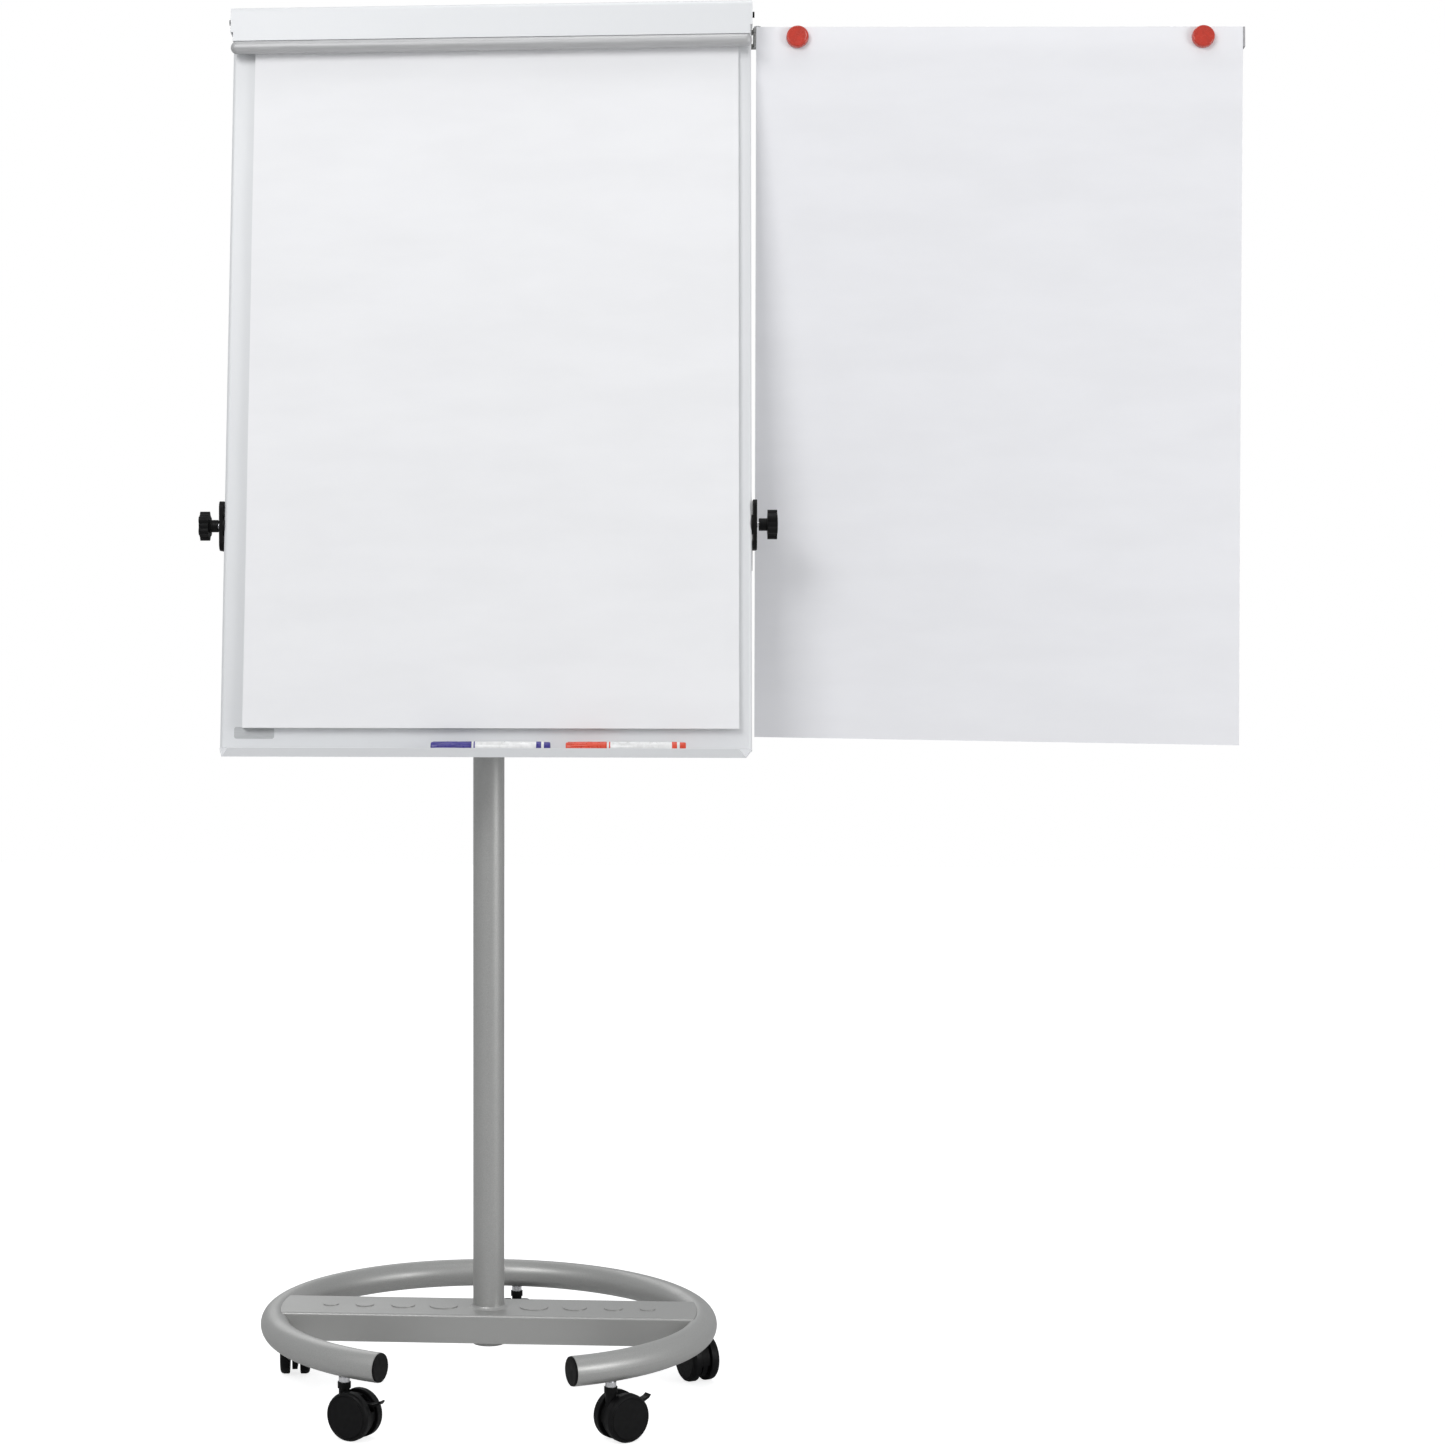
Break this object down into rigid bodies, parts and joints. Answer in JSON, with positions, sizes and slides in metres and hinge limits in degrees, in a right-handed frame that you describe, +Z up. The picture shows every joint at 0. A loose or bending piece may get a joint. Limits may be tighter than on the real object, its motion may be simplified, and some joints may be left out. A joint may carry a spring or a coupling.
{
  "type": "mobile flipchart easel",
  "caption": "Mobile flipchart easel: leaning magnetic board with paper clamp and pen tray on a height-adjustable column, ring base on casters, and a side arm with a hung sheet.",
  "frame": {"origin": "centre of the whole object's bounding box, on the floor under the wheels", "axes": "+Z up; the board faces -Y; +X is to the viewer's right, the side of the arm"},
  "size_m": [1.3856, 0.5856, 1.8667],
  "materials": {
    "painted_steel": "silver-grey textured powder coat",
    "white_lacquer": "smooth white enamel",
    "bar_aluminium": "satin anodised",
    "zinc": "bright zinc plated",
    "post_chrome": "polished",
    "black_plastic": "fine moulded texture",
    "grey_plastic": "satin moulded",
    "wheel_plastic": "satin",
    "core_board": "honeycomb cardboard",
    "pad_paper": "uncoated",
    "sheet_paper": "uncoated",
    "blue_plastic": "semi-gloss",
    "red_plastic": "semi-gloss",
    "magnet_red": "semi-gloss",
    "marker_white": "semi-gloss"
  },
  "bodies": {
    "base": {"base_ring": "painted_steel", "ring_end_plugs": "black_plastic", "cross_channel": "painted_steel", "column_tube": "painted_steel", "column_bush": "black_plastic", "height_collar": "black_plastic", "caster_stems": "zinc"},
    "height_knob": {"height_knob": "black_plastic", "height_knob_screw": "zinc"},
    "front_left_caster": {"front_left_housing": "black_plastic"},
    "front_left_wheels": {"front_left_axle": "zinc", "front_left_wheels": "wheel_plastic"},
    "front_left_brake": {"front_left_brake_lever": "black_plastic"},
    "front_right_caster": {"front_right_housing": "black_plastic"},
    "front_right_wheels": {"front_right_axle": "zinc", "front_right_wheels": "wheel_plastic"},
    "front_right_brake": {"front_right_brake_lever": "black_plastic"},
    "right_caster": {"right_housing": "black_plastic"},
    "right_wheels": {"right_axle": "zinc", "right_wheels": "wheel_plastic"},
    "rear_caster": {"rear_housing": "black_plastic"},
    "rear_wheels": {"rear_axle": "zinc", "rear_wheels": "wheel_plastic"},
    "left_caster": {"left_housing": "black_plastic"},
    "left_wheels": {"left_axle": "zinc", "left_wheels": "wheel_plastic"},
    "lift": {"inner_post": "post_chrome", "post_guide": "black_plastic", "post_saddle": "painted_steel", "yoke_crossbar": "painted_steel", "yoke_plates": "black_plastic", "tilt_washers": "black_plastic"},
    "tilt_knob_left": {"tilt_knob_left": "black_plastic", "tilt_screw_left": "zinc"},
    "tilt_knob_right": {"tilt_knob_right": "black_plastic", "tilt_screw_right": "zinc"},
    "board": {"board_face": "white_lacquer", "board_core": "core_board", "board_back": "white_lacquer", "pivot_inserts": "zinc", "pen_tray": "white_lacquer", "header_brackets": "painted_steel", "flap_pins": "black_plastic", "clamp_springs": "zinc", "pad_hooks": "zinc", "paper_pad": "pad_paper", "arm_bracket": "painted_steel", "bracket_screws": "zinc", "arm_hinge_pin": "zinc"},
    "clamp": {"header_flap": "white_lacquer", "clamp_bar": "bar_aluminium"},
    "arm": {"arm_rail": "painted_steel", "arm_end_cap": "grey_plastic", "hanging_sheet": "sheet_paper"},
    "magnet_left": {"magnet_left": "magnet_red"},
    "magnet_right": {"magnet_right": "magnet_red"},
    "blue_marker": {"blue_marker": "marker_white"},
    "blue_cap": {"blue_marker_cap": "blue_plastic"},
    "red_marker": {"red_marker": "marker_white"},
    "red_cap": {"red_marker_cap": "red_plastic"}
  },
  "joints": [
    {"name": "front_left_swivel", "type": "hinge", "parent": "base", "child": "front_left_caster", "pos_m": [-0.47903, -0.2495, 0.06], "axis": [0, 0, 1], "continuous": true},
    {"name": "front_left_roll", "type": "hinge", "parent": "front_left_caster", "child": "front_left_wheels", "pos_m": [-0.46491, -0.25701, 0.031], "axis": [0.4695, 0.8829, 0], "continuous": true},
    {"name": "front_left_brake_press", "type": "hinge", "parent": "front_left_caster", "child": "front_left_brake", "pos_m": [-0.45254, -0.26358, 0.046], "axis": [0.4695, 0.8829, 0], "range_deg": [0, 18]},
    {"name": "front_right_swivel", "type": "hinge", "parent": "base", "child": "front_right_caster", "pos_m": [-0.14047, -0.2495, 0.06], "axis": [0, 0, 1], "continuous": true},
    {"name": "front_right_roll", "type": "hinge", "parent": "front_right_caster", "child": "front_right_wheels", "pos_m": [-0.12752, -0.24009, 0.031], "axis": [-0.5878, 0.809, 0], "continuous": true},
    {"name": "front_right_brake_press", "type": "hinge", "parent": "front_right_caster", "child": "front_right_brake", "pos_m": [-0.1162, -0.23186, 0.046], "axis": [-0.5878, 0.809, 0], "range_deg": [0, 18]},
    {"name": "right_swivel", "type": "hinge", "parent": "base", "child": "right_caster", "pos_m": [-0.03585, 0.0725, 0.06], "axis": [0, 0, 1], "continuous": true},
    {"name": "right_roll", "type": "hinge", "parent": "right_caster", "child": "right_wheels", "pos_m": [-0.02858, 0.05824, 0.031], "axis": [0.891, 0.454, 0], "continuous": true},
    {"name": "rear_swivel", "type": "hinge", "parent": "base", "child": "rear_caster", "pos_m": [-0.28715, 0.27061, 0.06], "axis": [0, 0, 1], "continuous": true},
    {"name": "rear_roll", "type": "hinge", "parent": "rear_caster", "child": "rear_wheels", "pos_m": [-0.28715, 0.25461, 0.031], "axis": [1, 0, 0], "continuous": true},
    {"name": "left_swivel", "type": "hinge", "parent": "base", "child": "left_caster", "pos_m": [-0.58365, 0.0725, 0.06], "axis": [0, 0, 1], "continuous": true},
    {"name": "left_roll", "type": "hinge", "parent": "left_caster", "child": "left_wheels", "pos_m": [-0.58226, 0.05656, 0.031], "axis": [0.9962, 0.0872, 0], "continuous": true},
    {"name": "height_knob_turn", "type": "hinge", "parent": "base", "child": "height_knob", "pos_m": [-0.30975, 0.0335, 0.888], "axis": [0, 1, 0], "range_deg": [0, 360]},
    {"name": "height_slide", "type": "slide", "parent": "base", "child": "lift", "axis": [0, 0, 1], "range_m": [-0.185, 0.14]},
    {"name": "tilt_knob_left_turn", "type": "hinge", "parent": "lift", "child": "tilt_knob_left", "pos_m": [-0.67475, -0.0615, 1.165], "axis": [-1, 0, 0], "range_deg": [0, 360]},
    {"name": "tilt_knob_right_turn", "type": "hinge", "parent": "lift", "child": "tilt_knob_right", "pos_m": [0.05525, -0.0615, 1.165], "axis": [1, 0, 0], "range_deg": [0, 360]},
    {"name": "board_tilt", "type": "hinge", "parent": "lift", "child": "board", "pos_m": [-0.30975, -0.0615, 1.165], "axis": [-1, 0, 0], "range_deg": [-8, 82]},
    {"name": "clamp_open", "type": "hinge", "parent": "board", "child": "clamp", "pos_m": [-0.30975, 0.01431, 1.8481], "axis": [-1, 0, 0], "range_deg": [0, 25], "stiffness_Nm_per_rad": 2, "springref_deg": -20.05},
    {"name": "arm_swing", "type": "hinge", "parent": "board", "child": "arm", "pos_m": [0.04825, 0.04307, 1.82285], "axis": [0, 0.1392, 0.9903], "range_deg": [-70, 25]},
    {"name": "magnet_left_pull", "type": "slide", "parent": "arm", "child": "magnet_left", "axis": [0, -0.9903, 0.1392], "range_m": [0, 0.03]},
    {"name": "magnet_right_pull", "type": "slide", "parent": "arm", "child": "magnet_right", "axis": [0, -0.9903, 0.1392], "range_m": [0, 0.03]},
    {"name": "blue_marker_lift", "type": "slide", "parent": "board", "child": "blue_marker", "axis": [0, 0, 1], "range_m": [0, 0.06]},
    {"name": "blue_cap_pull", "type": "slide", "parent": "blue_marker", "child": "blue_cap", "axis": [-1, 0, 0], "range_m": [0, 0.018]},
    {"name": "red_marker_lift", "type": "slide", "parent": "board", "child": "red_marker", "axis": [0, 0, 1], "range_m": [0, 0.06]},
    {"name": "red_cap_pull", "type": "slide", "parent": "red_marker", "child": "red_cap", "axis": [-1, 0, 0], "range_m": [0, 0.018]}
  ]
}
